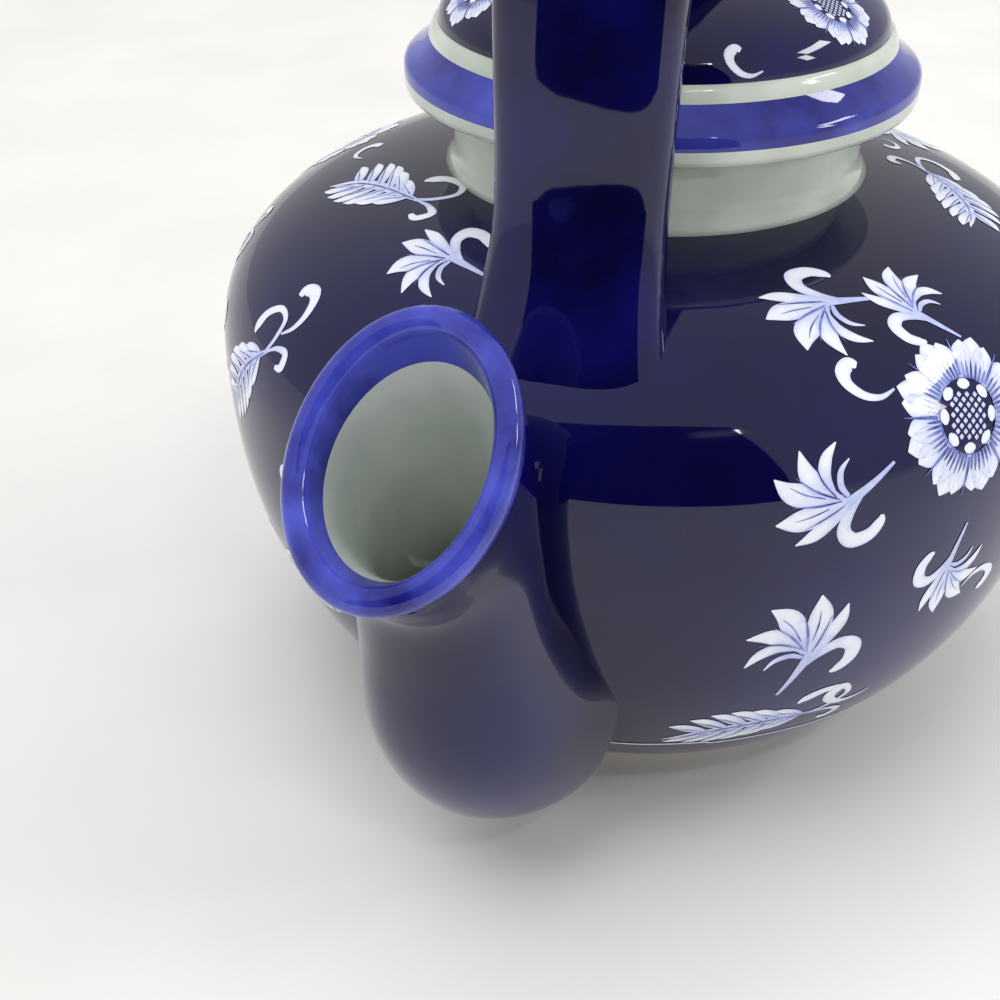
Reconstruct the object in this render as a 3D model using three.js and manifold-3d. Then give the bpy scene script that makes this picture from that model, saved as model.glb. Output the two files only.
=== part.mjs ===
// Porcelain teapot with a fixed overhead handle, a wide egg-mouthed spout and a lift-off lid.
// Millimetres, +Z up. The pot stands on z = 0 and its spout points along +X.
import * as THREE from 'three';
import { mergeVertices } from 'three/addons/utils/BufferGeometryUtils.js';
import Module from 'manifold-3d';

// Driving dimensions
const BELLY_R = 76;            // widest radius of the pot
const BELLY_Z = 68;            // height of the widest ring above the table
const SHOULDER_RISE = 33;      // shoulder height above the widest ring
const SHOULDER_POWER = 2.54;   // how square the shoulder is
const BASE_DROP = 75.6;        // depth of the lower curve, cut off by the foot
const BASE_POWER = 2.28;
const WALL = 4;
const NECK_R = 34.5;
const NECK_BORE = 30.5;
const NECK_TOP = 111.8;
const FOOT_R = 43;
const FOOT_BORE = 37;
const FLOOR_Z = 3;             // underside of the pot inside the foot ring
const GAP = 0.3;               // left between neighbouring pieces
const LID_R = 42.5;
const LID_Z = 112.1;
const DOME_R = 36.8;
const DOME_Z = 122.7;
const DOME_RISE = 12.3;
const HANDLE_YAW = 6;          // degrees the strap stands off the line of the spout
const STRAINER_HOLE_R = 3;
const AXIS_X = -18.64;          // turning axis, placed so that the whole part is centred on the origin
const ROUND = 40;              // steps round the turned pieces

const wasm = await Module();
wasm.setup();

function toSolid(geometry) {
  const g = geometry.clone();
  g.deleteAttribute('normal');
  g.deleteAttribute('uv');
  const welded = mergeVertices(g, 1e-4);
  return new wasm.Manifold(new wasm.Mesh({
    numProp: 3,
    vertProperties: new Float32Array(welded.attributes.position.array),
    triVerts: new Uint32Array(welded.index.array),
  }));
}

function toGeometry(solid) {
  const out = solid.getMesh();
  const g = new THREE.BufferGeometry();
  g.setAttribute('position', new THREE.BufferAttribute(new Float32Array(out.vertProperties), 3));
  g.setIndex(new THREE.BufferAttribute(new Uint32Array(out.triVerts), 1));
  g.computeVertexNormals();
  return g;
}

// A turned piece from [radius, height] points that run from the top outside, down, and back up inside.
function turned(points, steps = ROUND) {
  const g = new THREE.LatheGeometry(points.map(([r, z]) => new THREE.Vector2(r, z)), steps);
  g.rotateX(Math.PI / 2);
  return toGeometry(orient(toSolid(g)));
}

// Flip a solid that came out inside out.
function orient(solid) {
  if (solid.volume() >= 0) return solid;
  const m = solid.getMesh();
  const t = new Uint32Array(m.triVerts);
  for (let i = 0; i < t.length; i += 3) [t[i + 1], t[i + 2]] = [t[i + 2], t[i + 1]];
  return new wasm.Manifold(new wasm.Mesh({ numProp: 3, vertProperties: m.vertProperties, triVerts: t }));
}

// Radius of the pot at height z, with the wall grown by `grow`.
function potRadius(z, grow = 0) {
  const up = z >= BELLY_Z;
  const reach = (up ? SHOULDER_RISE : BASE_DROP) + grow;
  const power = up ? SHOULDER_POWER : BASE_POWER;
  const t = Math.min(1, Math.abs(z - BELLY_Z) / reach);
  return (BELLY_R + grow) * (1 - t ** power) ** (1 / power);
}

// Points down the pot's curve from height `from` to height `to`, closer together near the ends.
function potCurve(from, to, count, grow = 0) {
  const points = [];
  for (let i = 0; i <= count; i += 1) {
    const t = 0.5 - 0.5 * Math.cos((Math.PI * i) / count);
    const z = from + (to - from) * t;
    points.push([potRadius(z, grow), z]);
  }
  return points;
}

// Height on the shoulder where the pot's radius is r.
function shoulderZ(r, grow = 0) {
  const t = 1 - (r / (BELLY_R + grow)) ** SHOULDER_POWER;
  return BELLY_Z + (SHOULDER_RISE + grow) * t ** (1 / SHOULDER_POWER);
}

const neckZ = shoulderZ(NECK_R);

// The pot as one filled solid grown by a gap, used to cut the roots of the spout and the handle.
function potSolid(gap) {
  const curve = potCurve(neckZ, 4.5, 14).map(([r, z]) => [
    r * (1 + gap / BELLY_R), BELLY_Z + (z - BELLY_Z) * (1 + gap / SHOULDER_RISE)]);
  const [topZ, lowZ] = [curve[0][1], curve[curve.length - 1][1]];
  return orient(toSolid(new THREE.LatheGeometry(
    [[0, topZ], ...curve, [0, lowZ]].map(([r, z]) => new THREE.Vector2(r, z)), ROUND,
  ).rotateX(Math.PI / 2)));
}

// Smooth curve through rows of numbers, sampled `steps` times between rows.
function smoothRows(rows, steps) {
  const out = [];
  for (let i = 0; i < rows.length - 1; i += 1) {
    const [a, b] = [rows[Math.max(i - 1, 0)], rows[i]];
    const [c, d] = [rows[i + 1], rows[Math.min(i + 2, rows.length - 1)]];
    for (let k = 0; k < steps; k += 1) {
      const u = k / steps;
      out.push(b.map((v, j) => 0.5 * (2 * v + (c[j] - a[j]) * u
        + (2 * a[j] - 5 * v + 4 * c[j] - d[j]) * u * u + (3 * v - a[j] - 3 * c[j] + d[j]) * u ** 3)));
    }
  }
  out.push(rows[rows.length - 1]);
  return out;
}

// A filled sweep in the XZ plane. Each row is x, z, half size in the plane, half size across,
// and the swept section's slope in degrees. `power` squares the section, `egg` narrows one end of it.
function sweep(rows, sides, power = 2, egg = 0) {
  const points = [];
  const faces = [];
  rows.forEach(([x, z, inPlane, across, slope], n) => {
    const a = THREE.MathUtils.degToRad(slope);
    const eggHere = egg * (n / (rows.length - 1)) ** 2;
    for (let k = 0; k < sides; k += 1) {
      const t = (2 * Math.PI * k) / sides;
      const c = Math.sign(Math.cos(t)) * Math.abs(Math.cos(t)) ** (2 / power);
      const s = Math.sign(Math.sin(t)) * Math.abs(Math.sin(t)) ** (2 / power);
      const u = inPlane * c;
      points.push(x + u * Math.sin(a), across * s * (1 - eggHere * c), z - u * Math.cos(a));
    }
  });
  const last = (rows.length - 1) * sides;
  for (let n = 0; n < rows.length - 1; n += 1) {
    for (let k = 0; k < sides; k += 1) {
      const [p, q] = [n * sides + k, n * sides + ((k + 1) % sides)];
      faces.push(p, q, q + sides, p, q + sides, p + sides);
    }
  }
  for (let k = 1; k < sides - 1; k += 1) faces.push(0, k + 1, k, last, last + k, last + k + 1);
  const g = new THREE.BufferGeometry();
  g.setAttribute('position', new THREE.Float32BufferAttribute(points, 3));
  g.setIndex(faces);
  return orient(toSolid(g));
}

// Pot wall, open at the neck, pierced behind the spout
const shellPoints = [
  ...potCurve(neckZ, 4.5, 14),
  [FOOT_BORE, FLOOR_Z],
  [0, FLOOR_Z],
  [0, FLOOR_Z + 5],
  ...potCurve(shoulderZ(NECK_BORE, -WALL) - 0.5, 9, 10, -WALL).reverse(),
  [NECK_BORE, neckZ - 2],
  [NECK_BORE, neckZ],
  [NECK_R, neckZ],
];
let shell = orient(toSolid(new THREE.LatheGeometry(
  shellPoints.map(([r, z]) => new THREE.Vector2(r, z)), ROUND,
).rotateX(Math.PI / 2)));
const holeSpots = [[0, 0], [1, 0], [-1, 0], [0.5, 0.9], [-0.5, 0.9], [0.5, -0.9], [-0.5, -0.9]];
for (const [side, rise] of holeSpots) {
  const hole = new THREE.CylinderGeometry(STRAINER_HOLE_R, STRAINER_HOLE_R, 26, 12);
  hole.rotateZ(Math.PI / 2);
  hole.translate(68, side * 9.5, 38 + rise * 9.5);
  shell = shell.subtract(orient(toSolid(hole)));
}

// Spout: a heavy bulb low down, drawn in, then opening to an egg-shaped mouth
const spoutRows = [
  [54, 31, 25, 23, 0], [62, 33, 24, 22, 4], [70, 35, 22.5, 19.8, 22], [78, 44, 18.5, 17, 62],
  [84, 59, 14.2, 14.2, 80], [88, 73, 14, 13.6, 70], [93.5, 85, 17.2, 14.6, 54], [99, 93, 20.2, 15.4, 45],
];
const boreRows = [
  [54, 36, 17, 16, 0], [62, 37, 17, 16, 6], [70, 39, 16.5, 15, 24], [78, 47, 13.5, 12.8, 62],
  [84, 60, 10.2, 10.2, 80], [88, 73.5, 10, 9.8, 70], [93.5, 85.5, 13, 10.8, 54], [99, 93.2, 16.2, 11.6, 45],
  [103, 97.2, 17, 12.2, 45],
];
const cutter = potSolid(GAP);
const spout = sweep(smoothRows(spoutRows, 2), 22, 2, 0.12)
  .subtract(sweep(smoothRows(boreRows, 2), 18, 2, 0.12))
  .subtract(cutter);

// Overhead handle: a thick rounded strap from the front shoulder over the lid to the rear shoulder
const halfHandle = [
  [60, 82, 8.5, 17], [56, 94, 6.8, 14], [52.5, 104, 6.2, 12.8], [51, 114, 6, 12.6], [50.5, 128, 6, 13],
  [49, 142, 6, 13.4], [43, 159, 6, 13.8], [33, 173, 6, 14], [18, 182, 6, 14], [0, 185, 6, 14],
];
const backHalf = halfHandle.slice(0, -1).reverse().map(([x, z, a, b]) => [-x, z, a, b]);
const handleRows = smoothRows([...halfHandle, ...backHalf], 2);
handleRows.forEach((row, i) => {
  const [p, q] = [handleRows[Math.max(i - 1, 0)], handleRows[Math.min(i + 1, handleRows.length - 1)]];
  row[4] = THREE.MathUtils.radToDeg(Math.atan2(q[1] - p[1], q[0] - p[0]));
});
const handle = sweep(handleRows, 14, 2.6).rotate([0, 0, HANDLE_YAW]).subtract(cutter);

const neckCollar = turned([
  [NECK_R + 0.3, NECK_TOP], [NECK_R, NECK_TOP - 5], [NECK_R - 0.2, neckZ + 3], [NECK_R, neckZ + GAP],
  [NECK_BORE, neckZ + GAP], [NECK_BORE, NECK_TOP], [NECK_R + 0.3, NECK_TOP],
]);

const footZ = FLOOR_Z - GAP;
const footRing = turned([
  [FOOT_BORE + 4.6, footZ], [FOOT_R - 0.6, 0.8], [FOOT_R - 1.4, 0], [FOOT_BORE + 0.8, 0], [FOOT_BORE, 0.8],
  [FOOT_BORE, footZ - 0.2], [FOOT_BORE + 0.4, footZ], [FOOT_BORE + 4.6, footZ],
]);

// Lid with a flat underside to its flange and a hollow under the dome
const domePoints = [];
for (let i = 0; i <= 6; i += 1) {
  const a = (Math.PI / 2) * (i / 6);
  domePoints.push([DOME_R * Math.sin(a), DOME_Z + DOME_RISE * Math.cos(a)]);
}
const underDome = domePoints.map(([r, z]) => [r * 0.7, z - 4.2]).slice(0, -1).reverse();
const lidDome = turned([
  ...domePoints, [DOME_R + 0.7, DOME_Z], [DOME_R + 1.5, 120.3], [LID_R - 1.2, 117.4], [LID_R, 116.2],
  [LID_R, LID_Z + 0.6], [LID_R - 0.6, LID_Z], [26, LID_Z], ...underDome,
]);
const lidBezel = turned([
  [29.8, LID_Z - GAP], [29.8, 104.4], [29, 103.6], [27, 103.6], [26.2, 104.4], [26.2, LID_Z - GAP],
  [29.8, LID_Z - GAP],
]);
const knobZ = DOME_Z + DOME_RISE + GAP;
const lidKnob = turned([
  [0, knobZ + 16], [3.5, knobZ + 15.6], [6.6, knobZ + 13.8], [8.6, knobZ + 10.6], [8.6, knobZ + 8.2],
  [6.4, knobZ + 5.4], [4.6, knobZ + 3], [5, knobZ + 0.8], [5.6, knobZ], [0, knobZ],
], 32);

const cobalt = { color: 0x14145a, roughness: 0.08, metalness: 0 };
const celadon = { color: 0xdfe3da, roughness: 0.12, metalness: 0 };

const group = new THREE.Group();
group.name = 'porcelain_teapot';

function add(name, geometry, look) {
  const mesh = new THREE.Mesh(geometry, new THREE.MeshStandardMaterial(look));
  mesh.name = name;
  mesh.position.set(AXIS_X, 0, 0);
  group.add(mesh);
}

add('body_shell', toGeometry(shell), cobalt);
add('neck_collar', neckCollar, celadon);
add('foot_ring', footRing, celadon);
add('spout', toGeometry(spout), cobalt);
add('overhead_handle', toGeometry(handle), cobalt);
add('lid_dome', lidDome, cobalt);
add('lid_bezel', lidBezel, celadon);
add('lid_knob', lidKnob, cobalt);

export default group;
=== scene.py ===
"""Porcelain teapot with an overhead handle: glazed pieces, brushed scrollwork and a small studio."""
import math
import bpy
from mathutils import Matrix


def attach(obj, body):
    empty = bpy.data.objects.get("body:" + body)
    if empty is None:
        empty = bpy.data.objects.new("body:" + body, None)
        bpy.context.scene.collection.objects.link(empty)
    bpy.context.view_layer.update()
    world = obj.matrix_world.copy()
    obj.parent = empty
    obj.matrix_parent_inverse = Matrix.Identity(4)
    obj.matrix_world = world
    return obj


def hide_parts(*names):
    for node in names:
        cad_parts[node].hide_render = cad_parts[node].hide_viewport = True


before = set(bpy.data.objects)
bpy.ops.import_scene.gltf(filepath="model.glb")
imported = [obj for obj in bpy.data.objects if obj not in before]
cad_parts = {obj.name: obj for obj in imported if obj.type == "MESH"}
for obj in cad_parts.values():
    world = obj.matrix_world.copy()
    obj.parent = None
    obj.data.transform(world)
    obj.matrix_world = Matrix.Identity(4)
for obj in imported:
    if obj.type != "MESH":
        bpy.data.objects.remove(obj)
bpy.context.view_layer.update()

from types import SimpleNamespace

import bpy
from mathutils import Matrix, Vector

bl_info = {
    "name": "Porcelain teapot",
    "version": (1, 0, 0),
    "blender": (4, 5, 0),
    "location": "View3D > Sidebar > Teapot",
    "description": "Builds a blue and white porcelain teapot and its studio",
    "category": "Add Mesh",
}

MM = 0.001
SPOUT_SIDES = 72
STRAP_SIDES = 48
STRAP_POWER = 2.6          # how square the strap's section is; 2 is an ellipse
BLUE_RINGS_INSIDE = 12     # rings of the spout's skin with thin cobalt, counted from where the lip starts
BLUE_RINGS_OUTSIDE = 3
STROKE_STEP = 0.0005       # each stroke lies this much above the one before, so none share a plane


def colour(code):
    """An sRGB hex colour as linear RGBA."""
    channels = [int(code[i:i + 2], 16) / 255 for i in (1, 3, 5)]
    return [c / 12.92 if c <= 0.04045 else ((c + 0.055) / 1.055) ** 2.4 for c in channels] + [1.0]


def length(label, default, note):
    """A length in metres from its default in millimetres."""
    return bpy.props.FloatProperty(name=label, description=note, default=default * MM, unit="LENGTH")


def hex_colour(label, default, note):
    """A colour kept as a hex value."""
    return bpy.props.StringProperty(name=label, description=note + ", as an sRGB hex value",
                                    default=default)


class TeapotSizes(bpy.types.PropertyGroup):
    """Sizes shared with the solids."""
    axis_x: length("Axis X", -18.64, "Place of the turning axis along the line of the spout")
    belly_r: length("Belly radius", 76, "Widest radius of the pot")
    belly_z: length("Belly height", 68, "Height of the widest ring above the table")
    shoulder_rise: length("Shoulder rise", 33, "Height of the upper curve above the widest ring")
    base_drop: length("Base drop", 75.6, "Depth of the lower curve below the widest ring")
    wall: length("Wall", 4, "Thickness of the pot's wall")
    neck_r: length("Neck radius", 34.5, "Outer radius of the neck")
    neck_bore: length("Neck bore", 30.5, "Inner radius of the neck")
    neck_top: length("Neck top", 111.8, "Height of the neck's upper edge")
    dome_r: length("Dome radius", 36.8, "Radius of the lid's dome")
    dome_z: length("Dome height", 122.7, "Height of the dome's border above the table")
    dome_rise: length("Dome rise", 12.3, "Height of the dome above its border")
    stroke_lift: length("Stroke lift", 0.06, "How far the brushed slip stands proud of the wash")
    shoulder_power: bpy.props.FloatProperty(
        name="Shoulder fullness", description="How square the upper curve is; 2 is an ellipse",
        default=2.54)
    base_power: bpy.props.FloatProperty(
        name="Base fullness", description="How square the lower curve is; 2 is an ellipse",
        default=2.28)
    handle_yaw: bpy.props.FloatProperty(
        name="Handle turn", description="Angle between the handle and the line of the spout",
        default=math.radians(6), subtype="ANGLE")


class TeapotColours(bpy.types.PropertyGroup):
    """Glaze and studio colours."""
    cobalt_deep: hex_colour("Deep cobalt", "#050430", "Cobalt where the wash pooled")
    cobalt_wash: hex_colour("Cobalt wash", "#0b0a54", "Cobalt where the wash lies even")
    cobalt_thin: hex_colour("Thin cobalt", "#13136c", "Cobalt where the wash ran off an edge")
    cobalt_edge: hex_colour("Palest cobalt", "#4a52c4", "Cobalt where hardly any wash stayed")
    slip_white: hex_colour("Slip", "#f2f5ff", "White slip where the brush left most")
    slip_edge: hex_colour("Slip edge", "#94a4ea", "Slip thin enough for the blue to show")
    vein: hex_colour("Vein", "#232f8c", "Lines drawn over the slip")
    celadon: hex_colour("Pale glaze", "#dfe4da", "Clear glaze over white clay")
    celadon_pool: hex_colour("Pooled pale glaze", "#bdc7bd", "Clear glaze where it lies thick")
    unglazed: hex_colour("Bare clay", "#e9e2d4", "Wiped foot of the pot")
    clay_grain: hex_colour("Clay grain", "#d9cfbd", "Darker grain in the bare clay")
    flange_wash: hex_colour("Flange wash", "#1d1e78", "Cobalt band round the lid")
    button_wash: hex_colour("Button wash", "#15155c", "Cobalt on the lid's button")
    floor: hex_colour("Table", "#f4f3f0", "Studio table")
    floor_shade: hex_colour("Table shade", "#efeeeb", "Faint patches on the studio table")
    cloth: hex_colour("Cloth", "#0b0b0f", "Dark cloth behind the camera")
    cloth_fold: hex_colour("Cloth fold", "#18181d", "Paler folds of that cloth")


def sizes():
    """The sizes as plain numbers: lengths in millimetres, the turn in degrees."""
    group = bpy.context.scene.teapot_sizes
    plain = {name: getattr(group, name) / MM for name in (
        "axis_x", "belly_r", "belly_z", "shoulder_rise", "base_drop", "wall", "neck_r", "neck_bore",
        "neck_top", "dome_r", "dome_z", "dome_rise", "stroke_lift")}
    return SimpleNamespace(**plain, shoulder_power=group.shoulder_power, base_power=group.base_power,
                           handle_yaw=math.degrees(group.handle_yaw))


def colours():
    """The user's colours as hex values."""
    return bpy.context.scene.teapot_colours


# Materials

def add_node(tree, kind, settings=None, links=None):
    """Add a shader node, set its sockets or properties by name and link its inputs."""
    node = tree.nodes.new(kind)
    for key, value in (settings or {}).items():
        if key in node.inputs:
            node.inputs[key].default_value = value
        else:
            setattr(node, key, value)
    for key, source in (links or {}).items():
        tree.links.new(source, node.inputs[key])
    return node


def new_material(name):
    """An empty material and its node tree."""
    material = bpy.data.materials.new(name)
    material.use_nodes = True
    tree = material.node_tree
    tree.nodes.clear()
    return material, tree


def finish_material(material, tree, shader):
    """Join the last shader to the material's output."""
    output = add_node(tree, "ShaderNodeOutputMaterial")
    tree.links.new(shader.outputs[0], output.inputs["Surface"])
    return material


def mix_colours(tree, low, high, factor):
    """Mix two colours, each a value or a socket, by a socket."""
    node = add_node(tree, "ShaderNodeMix", {"data_type": "RGBA"})
    for socket, value in ((node.inputs[6], low), (node.inputs[7], high)):
        if isinstance(value, bpy.types.NodeSocket):
            tree.links.new(value, socket)
        else:
            socket.default_value = value
    tree.links.new(factor, node.inputs[0])
    return node.outputs[2]


def drift(tree, size_mm, detail=4.0, low_at=0.35, high_at=0.65):
    """Zero to one over soft patches of a given size."""
    place = add_node(tree, "ShaderNodeTexCoord")
    noise = add_node(tree, "ShaderNodeTexNoise", {"Scale": 1000 / size_mm, "Detail": detail},
                     {"Vector": place.outputs["Object"]})
    spread = add_node(tree, "ShaderNodeMapRange", {"From Min": low_at, "From Max": high_at},
                      {"Value": noise.outputs["Fac"]})
    return spread.outputs["Result"]


def glaze(tree, base, ripple_mm=12.0, ripple=0.08, roughness=0.04):
    """Clear fired glaze over a coloured layer, with the faint orange-peel ripple of a poured coat."""
    place = add_node(tree, "ShaderNodeTexCoord")
    noise = add_node(tree, "ShaderNodeTexNoise", {"Scale": 1000 / ripple_mm, "Detail": 2.0},
                     {"Vector": place.outputs["Object"]})
    bump = add_node(tree, "ShaderNodeBump", {"Strength": ripple, "Distance": 0.0006},
                    {"Height": noise.outputs["Fac"]})
    return add_node(tree, "ShaderNodeBsdfPrincipled",
                    {"Roughness": roughness, "IOR": 1.52},
                    {"Base Color": base, "Normal": bump.outputs["Normal"]})


def cobalt_glaze(name, low, high, size_mm):
    # Brushed cobalt oxide under clear glaze: dark where the wash pooled, violet-blue where it ran thin.
    material, tree = new_material(name)
    base = mix_colours(tree, colour(low), colour(high), drift(tree, size_mm))
    return finish_material(material, tree, glaze(tree, base))


def celadon_glaze():
    # Clear glaze with a trace of iron over white clay: pale grey-green, deeper where it pools.
    material, tree = new_material("celadon_glaze_over_white_clay")
    base = mix_colours(tree, colour(colours().celadon), colour(colours().celadon_pool), drift(tree, 22))
    return finish_material(material, tree, glaze(tree, base, roughness=0.09))


def bare_clay():
    # Wiped, unglazed foot: matte white clay with a fine grain.
    material, tree = new_material("wiped_bare_porcelain_clay")
    base = mix_colours(tree, colour(colours().unglazed), colour(colours().clay_grain), drift(tree, 1.5, 6.0))
    return finish_material(material, tree, glaze(tree, base, 0.8, 0.3, 0.7))


def slip_under_glaze():
    # White slip brushed into the blue: bright in the middle of a stroke, blue where it thins at the edge.
    material, tree = new_material("white_slip_strokes_under_glaze")
    tone = add_node(tree, "ShaderNodeAttribute", {"attribute_name": "tone"})
    brush = drift(tree, 1.6, 3.0, 0.3, 0.7)
    streak = add_node(tree, "ShaderNodeMath", {"operation": "MULTIPLY_ADD"},
                      {0: brush, 2: tone.outputs["Fac"]})
    streak.inputs[1].default_value = 0.25
    base = mix_colours(tree, colour(colours().slip_edge), colour(colours().slip_white), streak.outputs[0])
    return finish_material(material, tree, glaze(tree, base))


def vein_under_glaze():
    # Thin lines of cobalt drawn over the slip with the tip of the brush.
    material, tree = new_material("cobalt_veins_over_slip")
    base = mix_colours(tree, colour(colours().vein), colour(colours().slip_edge), drift(tree, 3))
    return finish_material(material, tree, glaze(tree, base))


# Shapes

def mesh_piece(name, verts, faces, material, body, nodes=(), tone=None):
    """A smooth-shaded mesh in metres from points in millimetres, riding one body."""
    mesh = bpy.data.meshes.new(name)
    mesh.from_pydata([(x * MM, y * MM, z * MM) for x, y, z in verts], [], faces)
    mesh.validate()
    if tone is not None:
        layer = mesh.attributes.new("tone", "FLOAT", "POINT")
        for i, value in enumerate(tone):
            layer.data[i].value = value
    mesh.polygons.foreach_set("use_smooth", [True] * len(mesh.polygons))
    mesh.materials.append(material)
    piece = bpy.data.objects.new(name, mesh)
    bpy.context.collection.objects.link(piece)
    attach(piece, body)
    if nodes:
        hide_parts(*nodes)
    return piece


def smooth_rows(rows, steps):
    """A curve through rows of numbers, sampled between them."""
    out = []
    for i in range(len(rows) - 1):
        a, b = rows[max(i - 1, 0)], rows[i]
        c, d = rows[i + 1], rows[min(i + 2, len(rows) - 1)]
        for k in range(steps):
            u = k / steps
            out.append([0.5 * (2 * b[j] + (c[j] - a[j]) * u
                               + (2 * a[j] - 5 * b[j] + 4 * c[j] - d[j]) * u * u
                               + (3 * b[j] - a[j] - 3 * c[j] + d[j]) * u ** 3) for j in range(len(b))])
    out.append(list(rows[-1]))
    return out


def turned(profile, steps=128):
    """Points and faces of a turned skin through [radius, height] points, on the pot's axis."""
    verts, faces = [], []
    axis = sizes().axis_x
    for r, z in profile:
        for k in range(steps):
            t = 2 * math.pi * k / steps
            verts.append((axis + r * math.cos(t), r * math.sin(t), z))
    for i in range(len(profile) - 1):
        for k in range(steps):
            m = (k + 1) % steps
            faces.append((i * steps + k, (i + 1) * steps + k, (i + 1) * steps + m, i * steps + m))
    return verts, faces


def pot_radius(z, grow=0.0):
    """The pot's radius at a height, with its skin moved outwards by some millimetres."""
    s = sizes()
    up = z >= s.belly_z
    reach = (s.shoulder_rise if up else s.base_drop) + grow
    power = s.shoulder_power if up else s.base_power
    t = min(1, abs(z - s.belly_z) / reach)
    return (s.belly_r + grow) * (1 - t ** power) ** (1 / power)


def shoulder_z(r, grow=0.0):
    """The shoulder's height at a radius."""
    s = sizes()
    t = 1 - (r / (s.belly_r + grow)) ** s.shoulder_power
    return s.belly_z + (s.shoulder_rise + grow) * t ** (1 / s.shoulder_power)


def pot_curve(start, end, count, grow=0.0):
    """The pot's profile between two heights, with closer points at its ends."""
    out = []
    for i in range(count + 1):
        z = start + (end - start) * (0.5 - 0.5 * math.cos(math.pi * i / count))
        out.append([pot_radius(z, grow), z])
    return out


def dome_curve(count):
    """The lid dome's profile from its middle to its border."""
    s = sizes()
    out = []
    for i in range(count + 1):
        a = math.pi / 2 * i / count
        out.append([max(0.01, s.dome_r * math.sin(a)), s.dome_z + s.dome_rise * math.cos(a)])
    return out


def sweep(rows, sides, power=2.0, yaw=0.0):
    """Rings of a sweep in the XZ plane; rows are x, z, half size in plane, half size across, slope."""
    verts, faces = [], []
    turn = math.radians(yaw)
    for x, z, in_plane, across, slope in rows:
        a = math.radians(slope)
        for k in range(sides):
            t = 2 * math.pi * k / sides
            c = math.copysign(abs(math.cos(t)) ** (2 / power), math.cos(t))
            s = math.copysign(abs(math.sin(t)) ** (2 / power), math.sin(t))
            u = in_plane * c
            px, py = x + u * math.sin(a), across * s
            verts.append((sizes().axis_x + px * math.cos(turn) - py * math.sin(turn),
                          px * math.sin(turn) + py * math.cos(turn), z - u * math.cos(a)))
    for n in range(len(rows) - 1):
        for k in range(sides):
            m = (k + 1) % sides
            faces.append((n * sides + k, n * sides + m, (n + 1) * sides + m, (n + 1) * sides + k))
    return verts, faces


class TEAPOT_OT_pot(bpy.types.Operator):
    """Turn the pot's wall, its neck and its foot"""
    bl_idname = "teapot.pot"
    bl_label = "Pot"

    def execute(self, context):
        s = sizes()
        neck_z = shoulder_z(s.neck_r)
        inner = pot_curve(9, shoulder_z(s.neck_bore, -s.wall) - 0.5, 40, -s.wall)
        profile = pot_curve(neck_z, 4.5, 90) + [[37, 3], [0.01, 3], [0.01, 8]] + inner
        profile += [[s.neck_bore, neck_z - 2], [s.neck_bore, neck_z], [s.neck_r, neck_z]]
        verts, faces = turned(profile, 160)
        mesh_piece("pot_wall", verts, faces,
                   cobalt_glaze("cobalt_wash_under_clear_glaze", colours().cobalt_deep,
                                colours().cobalt_wash, 70),
                   "pot", ("body_shell",))
        neck = [[s.neck_bore, s.neck_top], [s.neck_r + 0.3, s.neck_top], [s.neck_r, s.neck_top - 5],
                [s.neck_r - 0.2, neck_z + 3], [s.neck_r + 0.5, neck_z + 0.8], [s.neck_r + 1.4, neck_z - 0.3],
                [s.neck_bore, neck_z - 0.3], [s.neck_bore, s.neck_top]]
        verts, faces = turned(neck, 128)
        mesh_piece("neck_collar_glazed", verts, faces, celadon_glaze(), "pot",
                   ("neck_collar",))
        foot = [[43.6, 4.6], [42.6, 0.9], [42.2, 0.25], [41.6, 0.0], [37.8, 0.0], [37.2, 0.3], [37, 0.9],
                [37, 3.2]]
        verts, faces = turned(foot, 128)
        mesh_piece("foot_ring_wiped", verts, faces, bare_clay(), "pot", ("foot_ring",))
        return {"FINISHED"}


class TEAPOT_OT_spout(bpy.types.Operator):
    """Shape the spout with its bore and rounded lip"""
    bl_idname = "teapot.spout"
    bl_label = "Spout"

    def execute(self, context):
        outer = smooth_rows([
            [54, 31, 25, 23, 0], [62, 33, 24, 22, 4], [70, 35, 22.5, 19.8, 22], [78, 44, 18.5, 17, 62],
            [84, 59, 14.2, 14.2, 80], [88, 73, 14, 13.6, 70], [93.5, 85, 17.2, 14.6, 54],
            [99, 93, 20.2, 15.4, 45]], 10)[18:]
        bore = smooth_rows([
            [62, 37, 17, 16, 6], [70, 39, 16.5, 15, 24], [78, 47, 13.5, 12.8, 62],
            [84, 60, 10.2, 10.2, 80], [88, 73.5, 10, 9.8, 70], [93.5, 85.5, 13, 10.8, 54],
            [99, 93.2, 16.2, 11.6, 45]], 10)[8:]
        lip = []
        for i in range(1, 8):
            a = math.pi * i / 8
            push = 1.9 * 0.71 * math.sin(a)
            lip.append([99 + push, 93.1 + push, 18.2 + 2 * math.cos(a), 13.5 + 1.9 * math.cos(a), 45])
        rows = outer + lip + bore[::-1]
        verts, faces = sweep(rows, SPOUT_SIDES)
        bulb = cobalt_glaze("cobalt_wash_on_spout", colours().cobalt_deep, colours().cobalt_wash, 40)
        piece = mesh_piece("spout_glazed", verts, faces, bulb, "pot", ("spout",))
        piece.data.materials.append(cobalt_glaze("thin_cobalt_on_lip", colours().cobalt_thin,
                                                 colours().cobalt_edge, 12))
        piece.data.materials.append(celadon_glaze())
        for i, poly in enumerate(piece.data.polygons):
            ring = i // SPOUT_SIDES
            if ring >= len(outer) + BLUE_RINGS_INSIDE:
                poly.material_index = 2
            elif ring >= len(outer) - BLUE_RINGS_OUTSIDE:
                poly.material_index = 1
        return {"FINISHED"}


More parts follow.
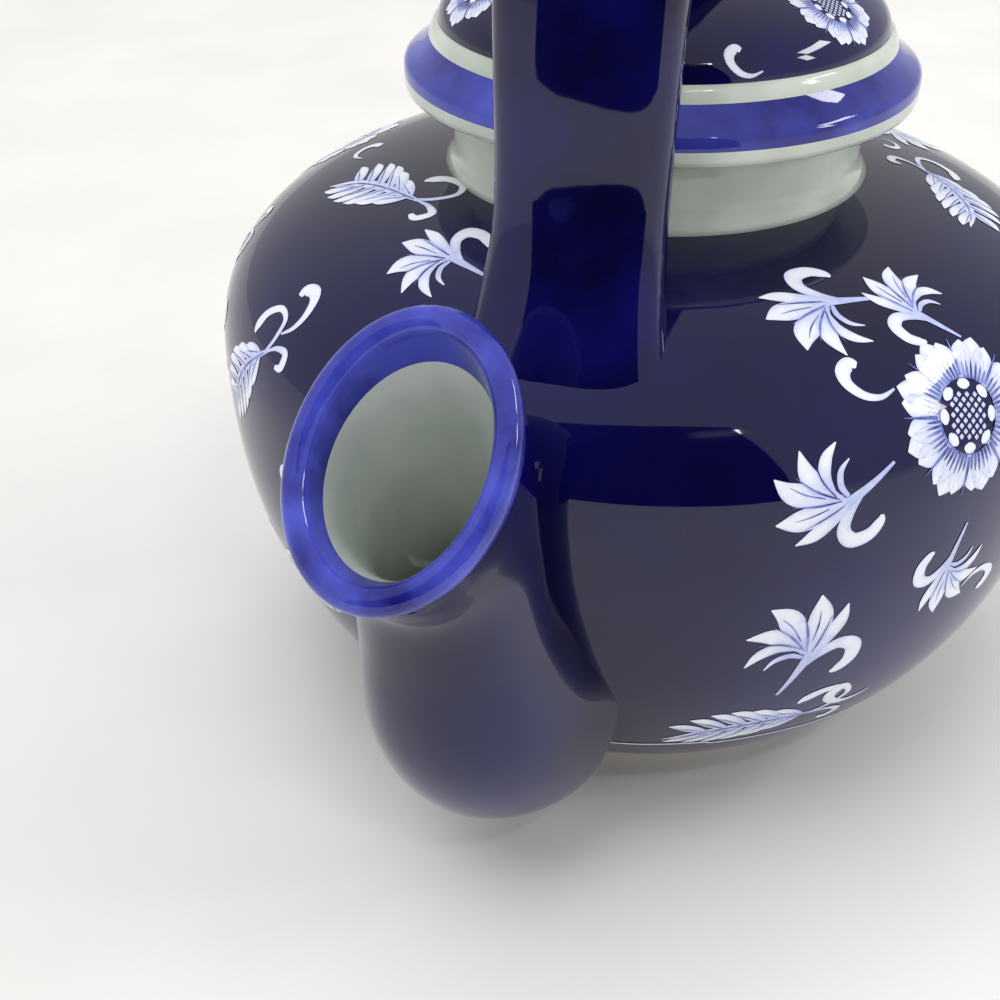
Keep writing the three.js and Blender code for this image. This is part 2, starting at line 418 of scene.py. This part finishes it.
class TEAPOT_OT_handle(bpy.types.Operator):
    """Bend the strap handle over the lid"""
    bl_idname = "teapot.handle"
    bl_label = "Handle"

    def execute(self, context):
        half = [[60, 82, 8.5, 17], [56, 94, 6.8, 14], [52.5, 104, 6.2, 12.8], [51, 114, 6, 12.6],
                [50.5, 128, 6, 13], [49, 142, 6, 13.4], [43, 159, 6, 13.8], [33, 173, 6, 14],
                [18, 182, 6, 14], [0, 185, 6, 14]]
        rows = smooth_rows(half + [[-x, z, a, b] for x, z, a, b in half[-2::-1]], 8)
        for i, row in enumerate(rows):
            p, q = rows[max(i - 1, 0)], rows[min(i + 1, len(rows) - 1)]
            row.append(math.degrees(math.atan2(q[1] - p[1], q[0] - p[0])))
        verts, faces = sweep(rows, STRAP_SIDES, STRAP_POWER, sizes().handle_yaw)
        mesh_piece("handle_strap", verts, faces,
                   cobalt_glaze("cobalt_wash_on_strap", colours().cobalt_deep, colours().cobalt_wash, 18),
                   "pot", ("overhead_handle",))
        return {"FINISHED"}


class TEAPOT_OT_lid(bpy.types.Operator):
    """Turn the lid, its ruled ring, its bezel and its knob"""
    bl_idname = "teapot.lid"
    bl_label = "Lid"

    def execute(self, context):
        dome = dome_curve(32)
        under = [[r * 0.7, z - 4.2] for r, z in dome[:-5]][::-1]
        verts, faces = turned(dome)
        mesh_piece("lid_cap", verts, faces,
                   cobalt_glaze("cobalt_wash_on_lid", colours().cobalt_deep, colours().cobalt_wash, 30),
                   "lid", ("lid_dome",))
        ring = [[36.8, 122.7], [37.1, 122.7], [37.6, 122.2], [38.1, 121.2], [38.3, 120.3]]
        verts, faces = turned(ring)
        mesh_piece("lid_white_ring", verts, faces, celadon_glaze(), "lid")
        flange = [[38.3, 120.3], [39.2, 119.2], [40.6, 117.9], [41.7, 117.2], [42.3, 116.6], [42.5, 116.0],
                  [42.5, 114.6]]
        verts, faces = turned(flange)
        mesh_piece("lid_flange", verts, faces,
                   cobalt_glaze("thin_cobalt_on_flange", colours().flange_wash, colours().cobalt_edge, 20),
                   "lid")
        verts, faces = turned([[42.5, 114.6], [42.5, 113.2], [42.3, 112.5], [41.9, 112.1], [30, 112.1],
                               [26, 112.1]] + under)
        mesh_piece("lid_underside", verts, faces, celadon_glaze(), "lid")
        verts, faces = turned([[29.8, 112.1], [29.8, 104.4], [29, 103.6], [27, 103.6], [26.2, 104.4],
                               [26.2, 112.1]])
        mesh_piece("lid_bezel_ring", verts, faces, celadon_glaze(), "lid", ("lid_bezel",))
        base = 134.9
        knob = [[0.01, 16.2], [2.2, 16.05], [4.6, 15.3], [6.8, 13.8], [8.2, 11.8], [8.8, 9.6], [8.4, 7.6],
                [7, 5.8], [5.2, 4.2], [4.5, 2.8], [4.8, 1.4], [5.8, 0.2]]
        verts, faces = turned([[r, base + z] for r, z in smooth_rows(knob, 4)], 64)
        mesh_piece("lid_button", verts, faces,
                   cobalt_glaze("cobalt_wash_on_button", colours().button_wash, colours().cobalt_edge, 10),
                   "lid", ("lid_knob",))
        return {"FINISHED"}


class Brush:
    """Collects strokes laid on the pot or on the lid as one mesh with a tone for every point."""

    def __init__(self, profile):
        self.verts, self.faces, self.tones = [], [], []
        self.profile = profile
        self.lengths = [0.0]
        for a, b in zip(profile, profile[1:]):
            self.lengths.append(self.lengths[-1] + math.dist(a, b))
        self.count = 0

    def along(self, z):
        """Length along the profile to the point nearest a height."""
        best = min(range(len(self.profile)), key=lambda i: abs(self.profile[i][1] - z))
        return self.lengths[best]

    def at(self, length):
        """Radius, height and outward direction at a length along the profile."""
        length = min(max(length, 0.0), self.lengths[-1] - 1e-6)
        low, high = 0, len(self.lengths) - 1
        while high - low > 1:
            mid = (low + high) // 2
            low, high = (mid, high) if self.lengths[mid] <= length else (low, mid)
        t = (length - self.lengths[low]) / (self.lengths[high] - self.lengths[low])
        a, b = self.profile[low], self.profile[high]
        r, z = a[0] + (b[0] - a[0]) * t, a[1] + (b[1] - a[1]) * t
        tr, tz = b[0] - a[0], b[1] - a[1]
        size = math.hypot(tr, tz)
        return r, z, -tz / size, tr / size

    def place(self, spot, u, v, lift):
        """A point u millimetres round and v millimetres up the skin from a spot."""
        angle, start = spot
        r, z, out_r, out_z = self.at(start - v)
        theta = math.radians(angle) + u / max(r, 6.0)
        r, z = r + out_r * lift, z + out_z * lift
        return sizes().axis_x + r * math.cos(theta), r * math.sin(theta), z

    def stroke(self, spot, points, turn=0.0, flip=1, scale=1.0, lift=0.0, steps=5):
        """A stroke through (u, v, half width, tone) points, turned and scaled about its spot."""
        rows = smooth_rows([list(p) + [1.0] * (4 - len(p)) for p in points], steps)
        c, s = math.cos(math.radians(turn)), math.sin(math.radians(turn))
        self.count += 1
        height = sizes().stroke_lift + lift + STROKE_STEP * (self.count % 60)
        across = ((-1.0, 0.45), (-0.6, 0.85), (0.0, 1.0), (0.6, 0.85), (1.0, 0.45))
        first, n = len(self.verts), len(across)
        for i, (u, v, w, tone) in enumerate(rows):
            a, b = rows[max(i - 1, 0)], rows[min(i + 1, len(rows) - 1)]
            du, dv = b[0] - a[0], b[1] - a[1]
            size = math.hypot(du, dv) or 1.0
            for q, share in across:
                pu, pv = (u - dv / size * w * q) * scale * flip, (v + du / size * w * q) * scale
                self.verts.append(self.place(spot, pu * c - pv * s, pu * s + pv * c, height))
                self.tones.append(tone * share)
        for i in range(len(rows) - 1):
            for k in range(n - 1):
                p = first + i * n + k
                face = (p, p + n, p + n + 1, p + 1)
                self.faces.append(face if flip > 0 else face[::-1])


def curl(brush, veins, spot, turn, flip, scale=1.0):
    """A comma: a round head on a tapering tail."""
    brush.stroke(spot, [(9, -3.4, 0.25, 0.5), (5.5, -4.4, 0.6, 0.7), (2, -3.4, 0.9, 0.9),
                        (-0.6, -0.6, 1.2, 1), (-0.8, 2.2, 1.6, 1), (1.2, 3.9, 1.5, 1), (2.8, 3.2, 0.8, 1)],
                 turn, flip, scale)


def palmette(brush, veins, spot, turn, flip, scale=1.0):
    """Half a palmette: a stem that opens into pointed lobes, with a curled side shoot."""
    for points in (
            [(0, 0, 0.25, 0.3), (4, 0.9, 0.5, 0.3), (8, 1.6, 0.8, 0.35), (11, 2.2, 0.9, 0.5)],
            [(6.0, 1.3, 0.3, 0.3), (8.8, 3.0, 0.7, 0.4), (10.9, 5.6, 1.1, 0.8), (10.2, 8.2, 1.3, 1),
             (7.4, 8.8, 1.2, 1), (5.2, 7.6, 0.9, 1), (4.6, 6.6, 0.3, 1)],
            [(8, 1.8, 0.4, 0.3), (12, 3.2, 1.0, 0.6), (15.4, 4.3, 1.1, 1), (18.4, 4.6, 0.1, 1)],
            [(9, 1.2, 0.5, 0.3), (13, 1.4, 1.6, 0.6), (17, 0.9, 1.7, 1), (20.2, 0.0, 0.1, 1)],
            [(9.5, 0.8, 0.5, 0.3), (13.2, -1.4, 1.7, 0.6), (16.4, -3.8, 1.6, 1), (17.8, -6.6, 0.1, 1)],
            [(10, 0.4, 0.5, 0.3), (12.2, -2.6, 1.3, 0.6), (13.0, -5.4, 1.3, 1), (12.4, -8.6, 0.1, 1)],
            [(10.6, -0.2, 0.5, 0.3), (10.8, -3.4, 0.9, 0.6), (9.4, -5.8, 0.9, 1), (6.8, -7.2, 0.1, 1)],
            [(8.6, 0.8, 0.3, 0.3), (9.1, -1.2, 0.5, 0.3), (8.2, -3.2, 0.45, 0.5), (6.2, -4.2, 0.1, 0.8)]):
        brush.stroke(spot, points, turn, flip, scale)
    for points in (
            [(9.6, 1.9, 0.1), (13, 2.4, 0.16), (16.6, 2.7, 0.03)],
            [(9.8, 1.0, 0.1), (13.4, 0.0, 0.18), (17.0, -1.6, 0.03)],
            [(10, 0.6, 0.1), (12.8, -2.2, 0.18), (14.8, -5.4, 0.03)],
            [(10.4, 0.0, 0.1), (11.4, -3.2, 0.16), (11.2, -6.4, 0.03)],
            [(12, 1.2, 0.08), (15, 1.1, 0.12), (17.4, 0.7, 0.03)],
            [(12, -0.6, 0.08), (14.6, -2.6, 0.12), (16.2, -4.6, 0.03)]):
        veins.stroke(spot, points, turn, flip, scale, 0.05)


def feather(brush, veins, spot, turn, flip, scale=1.0):
    """A long leaf: a bent rib with slim pointed lobes on both sides and two curls at its foot."""
    pairs = 6
    brush.stroke(spot, [(0, 0, 0.3, 0.3), (7, 1.4, 0.9, 0.4), (14, 1.8, 1.2, 0.5), (21, 1.0, 0.9, 0.7),
                        (27, -1.2, 0.1, 1)], turn, flip, scale)
    for i in range(pairs):
        u = 3.5 + 3.3 * i
        v = 1.9 * math.sin(math.pi * min(1, (u + 3) / 30))
        reach = 5.4 * math.sin(math.pi * (i + 1.6) / (pairs + 2.2)) + 0.6
        for side in (1, -1):
            brush.stroke(spot, [(u, v, 0.5, 0.3), (u + 2.0, v + side * reach * 0.42, 1.15, 0.6),
                                (u + 4.4, v + side * reach * 0.85, 1.05, 1),
                                (u + 6.6, v + side * reach * 1.05, 0.1, 1)], turn, flip, scale)
            veins.stroke(spot, [(u + 0.6, v + side * 0.4, 0.1), (u + 3.2, v + side * reach * 0.5, 0.13),
                                (u + 5.4, v + side * reach * 0.8, 0.03)], turn, flip, scale, 0.05)
    veins.stroke(spot, [(2, 0.4, 0.12), (10, 1.7, 0.2), (18, 1.5, 0.18), (25, -0.5, 0.05)],
                 turn, flip, scale, 0.05)
    brush.stroke(spot, [(2.5, 0.3, 0.3, 0.3), (-1.5, 1.4, 0.5, 0.5), (-4.6, 4.2, 0.6, 0.8),
                        (-3.4, 7.4, 0.7, 1), (0.4, 8.4, 0.9, 1), (3.6, 7.4, 1.1, 1), (5.0, 6.2, 0.3, 1)],
                 turn, flip, scale)
    brush.stroke(spot, [(1, 0.2, 0.25, 0.3), (-2.2, -0.8, 0.5, 0.5), (-4.4, -3.0, 0.8, 0.9),
                        (-2.6, -5.0, 0.9, 1), (-0.8, -4.0, 0.4, 1)], turn, flip, scale)


def flower(brush, veins, spot, turn=0.0, flip=1, scale=1.0):
    """A bloom with notched petals, hatched at their feet, round a latticed heart."""
    petals = 8

    def ray(angle, radius):
        a = math.radians(angle)
        return radius * math.cos(a), radius * math.sin(a)

    for i in range(petals):
        middle = 360 / petals * i + 10
        half = 180 / petals - 1.6
        for bend, reach, width in ((-0.55, 12.0, 2.1), (0.0, 12.9, 2.2), (0.55, 12.1, 2.1)):
            points = []
            for r, w in ((6.0, 0.5), (8.0, 1.0), (10.0, 0.95), (11.4, 0.72), (12.6, 0.05)):
                u, v = ray(middle + bend * half, r * reach / 12.6)
                points.append((u, v, width * w, 0.45 + 0.55 * (r - 6) / 6.6))
            brush.stroke(spot, points, turn, flip, scale)
        for bend in (-0.8, -0.5, -0.2, 0.15, 0.45, 0.75):
            tip = 9.3 - 1.2 * abs(bend)
            veins.stroke(spot, [(*ray(middle + bend * half, 5.7), 0.26),
                                (*ray(middle + bend * half, 7.4), 0.2),
                                (*ray(middle + bend * half, tip), 0.03)], turn, flip, scale, 0.05)
        veins.stroke(spot, [(*ray(middle + 180 / petals, r), w) for r, w in
                            ((6.2, 0.3), (9, 0.22), (12.2, 0.05))], turn, flip, scale, 0.06)
        bean = [(*ray(middle + 22 + (k - 2) * 7.0, 4.85), (0.25, 0.75, 0.85, 0.75, 0.25)[k], 1)
                for k in range(5)]
        brush.stroke(spot, bean, turn, flip, scale, 0.02)
    step = 1.12
    for i in range(-3, 4):
        for k in range(-3, 4):
            u, v = i * step, k * step
            if math.hypot(u, v) < 3.6:
                brush.stroke(spot, [(u - 0.36, v, 0.1, 0.5), (u - 0.3, v, 0.34, 0.5),
                                    (u + 0.3, v, 0.34, 0.5), (u + 0.36, v, 0.1, 0.5)],
                             turn + 28, flip, scale, 0, 2)


# Where each painted form stands on the pot: angle in degrees from the spout, height in millimetres,
# turn in degrees, mirrored or not, and scale.
MOTIFS = (
    (flower, ((57.9, 81.6, 0, 1, 0.98), (-95, 90, 0, 1, 0.95), (150, 82, 0, 1, 0.98))),
    (palmette, ((55.3, 94.0, 0, -1, 0.96), (62.8, 89.2, 112, 1, 0.82), (46.3, 78.9, 200, 1, 0.98),
                (58.1, 64.6, 84, -1, 0.86), (36.5, 36.6, -98, -1, 1.12), (72, 58, -40, 1, 0.95),
                (80, 42, 165, -1, 0.95), (98, 72, 150, 1, 0.95), (108, 88, 30, -1, 0.9),
                (96, 36, 20, 1, 0.95), (-10, 95.5, 0, -1, 0.95), (-78, 66, 200, 1, 0.95),
                (-60, 50, 20, -1, 0.95), (-88, 40, 160, 1, 0.95), (-116, 70, 200, -1, 0.95),
                (-124, 92, 150, 1, 0.9), (-112, 44, 10, 1, 0.95), (148, 95, 0, -1, 0.95),
                (156, 66, 100, 1, 0.9), (132, 74, 200, 1, 0.95), (170, 50, 20, -1, 0.95),
                (-160, 64, 160, 1, 0.95), (-150, 40, 20, 1, 0.95), (140, 38, 160, -1, 0.95))),
    (feather, ((112.2, 97.1, 205, 1, 0.85), (-42.1, 97.6, 28, -1, 0.95), (-36, 80.5, 50, -1, 0.85),
               (-58, 72, 200, 1, 0.85), (-70, 84, 230, 1, 0.8), (84, 70, -60, 1, 0.9),
               (45, 28, 8, -1, 0.95), (106, 52, 215, -1, 0.85), (-44, 34, 10, 1, 0.85),
               (-136, 84, 205, 1, 0.85), (-172, 92, 200, 1, 0.85), (172, 76, -50, 1, 0.85),
               (-178, 36, 10, 1, 0.85), (116, 34, 12, -1, 0.8), (-134, 56, 215, -1, 0.85))),
    (curl, ((43.3, 88.4, 0, 1, 0.72), (46, 31.4, 10, 1, 0.8), (124, 97.4, 30, 1, 0.45),
            (66, 50, 200, 1, 0.7), (90, 56, 90, -1, 0.75),
            (114, 62, 10, 1, 0.75), (82, 28, 160, -1, 0.8), (-34.4, 88.4, 60, -1, 0.75),
            (-82, 95, 30, 1, 0.6), (-30, 60, 30, 1, 0.7), (-64, 34, 200, 1, 0.7),
            (-100, 58, 10, -1, 0.75), (130, 52, 40, 1, 0.75), (-150, 78, 20, 1, 0.7),
            (-142, 30, 160, 1, 0.75), (160, 34, 20, -1, 0.75))),
)


class TEAPOT_OT_scrollwork(bpy.types.Operator):
    """Brush the scrolling flowers and leaves onto the pot and the lid"""
    bl_idname = "teapot.scrollwork"
    bl_label = "Scrollwork"

    def execute(self, context):
        slip, vein = slip_under_glaze(), vein_under_glaze()
        curve = pot_curve(shoulder_z(sizes().neck_r + 1), 8, 300)
        brush, veins = Brush(curve), Brush(curve)
        for motif, places in MOTIFS:
            for angle, z, turn, flip, scale in places:
                motif(brush, veins, (angle, brush.along(z)), turn, flip, scale)
        for start in range(0, 360, 30):
            arc = [(math.radians(2.5 * k) * 64, 0.3 * math.sin(0.7 * k + start), 0.35, 0.7)
                   for k in range(13)]
            brush.stroke((start, brush.along(21.5)), arc)
        lid_curve = dome_curve(60)
        lid_brush, lid_veins = Brush(lid_curve), Brush(lid_curve)
        for i in range(6):
            place = (60 * i + 12, lid_brush.along(129.5))
            if i % 2:
                flower(lid_brush, lid_veins, place, 0, 1, 0.6)
            else:
                palmette(lid_brush, lid_veins, (place[0] + 8, place[1]), 0, -1, 0.7)
                curl(lid_brush, lid_veins, (place[0] + 22, lid_brush.along(125.5)), 0, 1, 0.5)
        for name, maker, material, body in (
                ("scrollwork_slip", brush, slip, "pot"), ("scrollwork_veins", veins, vein, "pot"),
                ("lid_scrollwork_slip", lid_brush, slip, "lid"),
                ("lid_scrollwork_veins", lid_veins, vein, "lid")):
            mesh_piece(name, maker.verts, maker.faces, material, body, (), maker.tones)
        return {"FINISHED"}


class TEAPOT_OT_stage(bpy.types.Operator):
    """Set the floor, lights, backdrop and camera"""
    bl_idname = "teapot.stage"
    bl_label = "Stage"

    def execute(self, context):
        # Pale matte board, even enough to read as plain, with the faintest patches.
        material, tree = new_material("pale_studio_table")
        base = mix_colours(tree, colour(colours().floor), colour(colours().floor_shade), drift(tree, 60))
        shader = add_node(tree, "ShaderNodeBsdfPrincipled", {"Roughness": 0.55}, {"Base Color": base})
        finish_material(material, tree, shader)
        mesh = bpy.data.meshes.new("table")
        mesh.from_pydata([(-3, -3, 0), (3, -3, 0), (3, 3, 0), (-3, 3, 0)], [], [(0, 1, 2, 3)])
        mesh.materials.append(material)
        table = bpy.data.objects.new("table", mesh)
        bpy.context.collection.objects.link(table)

        world = bpy.data.worlds.new("studio")
        bpy.context.scene.world = world
        world.use_nodes = True
        tree = world.node_tree
        tree.nodes.clear()
        ways = add_node(tree, "ShaderNodeLightPath")
        strength = add_node(tree, "ShaderNodeMapRange", {"To Min": 0.62, "To Max": 1.0},
                            {"Value": ways.outputs["Is Camera Ray"]})
        back = add_node(tree, "ShaderNodeBackground", {"Color": (1, 1, 1, 1)},
                        {"Strength": strength.outputs["Result"]})
        output = add_node(tree, "ShaderNodeOutputWorld")
        tree.links.new(back.outputs[0], output.inputs["Surface"])

        data = bpy.data.lights.new("ceiling", "SUN")
        data.energy = 1.3
        data.angle = math.radians(50)
        lamp = bpy.data.objects.new("ceiling", data)
        lamp.rotation_euler = (math.radians(14), math.radians(12), 0)
        lamp.visible_glossy = False
        bpy.context.collection.objects.link(lamp)
        for name, spot, wide, tall, power in (("window_left", (-0.35, 0.75, 0.75), 0.34, 0.12, 1.6),
                                              ("window_right", (-0.15, 0.95, 0.62), 0.1, 0.2, 0.8),
                                              ("window_behind", (0.55, 0.5, 0.95), 0.2, 0.06, 0.9)):
            data = bpy.data.lights.new(name, "AREA")
            data.shape = "RECTANGLE"
            data.size, data.size_y = wide, tall
            data.energy = power
            lamp = bpy.data.objects.new(name, data)
            lamp.location = spot
            aim = Vector((0, 0, 0.08)) - Vector(spot)
            lamp.rotation_euler = aim.to_track_quat("-Z", "Y").to_euler()
            bpy.context.collection.objects.link(lamp)

        data = bpy.data.cameras.new("camera")
        data.sensor_width = 36
        data.lens = 54
        camera = bpy.data.objects.new("camera", data)
        bpy.context.collection.objects.link(camera)
        stand = Vector((240.0 + sizes().axis_x, 73.4, 189.5)) * MM
        look = Vector((16.0 + sizes().axis_x, -22.05, 32.0)) * MM
        aim = (look - stand).to_track_quat("-Z", "Y").to_matrix().to_4x4()
        camera.matrix_world = Matrix.Translation(stand) @ aim
        bpy.context.scene.camera = camera

        # A dark woven cloth behind the camera, matte and nearly black, which only the glaze shows.
        cloth, tree = new_material("dark_woven_cloth")
        base = mix_colours(tree, colour(colours().cloth), colour(colours().cloth_fold), drift(tree, 40))
        shader = add_node(tree, "ShaderNodeBsdfPrincipled", {"Roughness": 0.9}, {"Base Color": base})
        finish_material(cloth, tree, shader)
        away = stand - look
        flat = Vector((away.x, away.y, 0)).normalized()
        side = Vector((-flat.y, flat.x, 0))
        foot = Vector((stand.x, stand.y, 0)) + flat * 0.08
        low, high = Vector((0, 0, 0.05)), Vector((0, 0, 0.5))
        mesh = bpy.data.meshes.new("dark_cloth")
        mesh.from_pydata([tuple(foot + step) for step in (-side * 0.3 + low, side * 0.2 + low,
                                                          side * 0.16 + high, -side * 0.24 + high)],
                         [], [(0, 1, 2, 3)])
        mesh.materials.append(cloth)
        card = bpy.data.objects.new("dark_cloth", mesh)
        card.visible_camera = False
        card.visible_diffuse = False
        card.visible_shadow = False
        bpy.context.collection.objects.link(card)
        bpy.context.scene.view_settings.view_transform = "Standard"
        return {"FINISHED"}


class TEAPOT_PT_panel(bpy.types.Panel):
    """Buttons for the teapot's parts"""
    bl_idname = "TEAPOT_PT_panel"
    bl_label = "Teapot"
    bl_space_type = "VIEW_3D"
    bl_region_type = "UI"
    bl_category = "Teapot"

    def draw(self, context):
        for operator in OPERATORS:
            self.layout.operator(operator.bl_idname)


OPERATORS = (TEAPOT_OT_pot, TEAPOT_OT_spout, TEAPOT_OT_handle, TEAPOT_OT_lid, TEAPOT_OT_scrollwork,
             TEAPOT_OT_stage)
CLASSES = (TeapotSizes, TeapotColours) + OPERATORS + (TEAPOT_PT_panel,)


def register():
    for cls in CLASSES:
        bpy.utils.register_class(cls)
    bpy.types.Scene.teapot_sizes = bpy.props.PointerProperty(type=TeapotSizes)
    bpy.types.Scene.teapot_colours = bpy.props.PointerProperty(type=TeapotColours)


def unregister():
    del bpy.types.Scene.teapot_colours
    del bpy.types.Scene.teapot_sizes
    for cls in reversed(CLASSES):
        bpy.utils.unregister_class(cls)


def main():
    register()
    bpy.ops.teapot.pot()
    bpy.ops.teapot.spout()
    bpy.ops.teapot.handle()
    bpy.ops.teapot.lid()
    bpy.ops.teapot.scrollwork()
    bpy.ops.teapot.stage()


if __name__ == "__main__":
    main()
